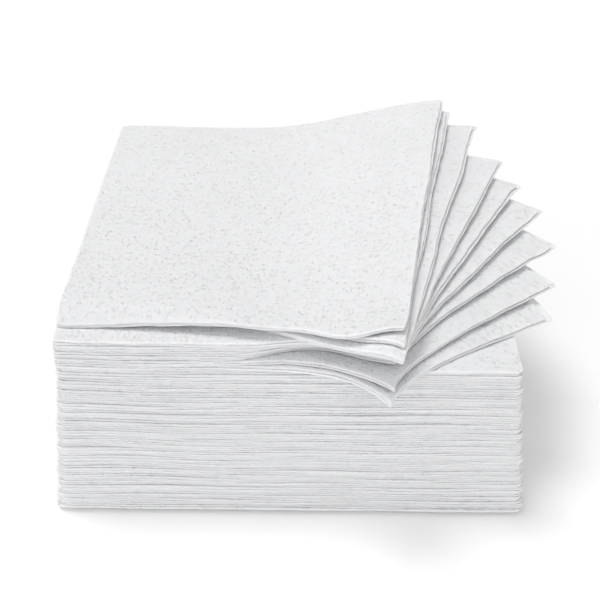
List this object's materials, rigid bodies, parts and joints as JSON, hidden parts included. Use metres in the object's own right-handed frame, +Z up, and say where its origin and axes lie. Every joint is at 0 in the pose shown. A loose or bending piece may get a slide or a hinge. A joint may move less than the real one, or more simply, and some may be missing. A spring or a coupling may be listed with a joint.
{
  "type": "stack of dry wipes",
  "caption": "Square stack of dry wipes, each folded in half: a pressed pile below, and loose wipes on top that fan out at one side.",
  "frame": {"origin": "middle of the pile's footprint, on the surface that it stands on", "axes": "+X to the right seen from the front, from the wipes' folds to their open sides; +Y to the back; +Z up"},
  "size_m": [0.1799, 0.1942, 0.0901],
  "materials": {
    "cloth": "matte, lightly embossed"
  },
  "bodies": {
    "root": {"pressed_wipe_01": "cloth", "pressed_wipe_02": "cloth", "pressed_wipe_03": "cloth", "pressed_wipe_04": "cloth", "pressed_wipe_05": "cloth", "pressed_wipe_06": "cloth", "pressed_wipe_07": "cloth", "pressed_wipe_08": "cloth", "pressed_wipe_09": "cloth", "pressed_wipe_10": "cloth", "pressed_wipe_11": "cloth", "pressed_wipe_12": "cloth", "pressed_wipe_13": "cloth", "pressed_wipe_14": "cloth", "pressed_wipe_15": "cloth", "pressed_wipe_16": "cloth", "pressed_wipe_17": "cloth", "pressed_wipe_18": "cloth", "pressed_wipe_19": "cloth", "pressed_wipe_20": "cloth", "pressed_wipe_21": "cloth", "pressed_wipe_22": "cloth", "pressed_wipe_23": "cloth", "pressed_wipe_24": "cloth", "pressed_wipe_25": "cloth", "pressed_wipe_26": "cloth", "pressed_wipe_27": "cloth", "pressed_wipe_28": "cloth", "pressed_wipe_29": "cloth", "pressed_wipe_30": "cloth", "pressed_wipe_31": "cloth", "pressed_wipe_32": "cloth", "pressed_wipe_33": "cloth", "fanned_wipe_01": "cloth", "fanned_wipe_02": "cloth", "fanned_wipe_03": "cloth", "fanned_wipe_04": "cloth", "fanned_wipe_05": "cloth", "fanned_wipe_06": "cloth", "fanned_wipe_07": "cloth", "fanned_wipe_08": "cloth", "fanned_wipe_09": "cloth"}
  },
  "joints": []
}
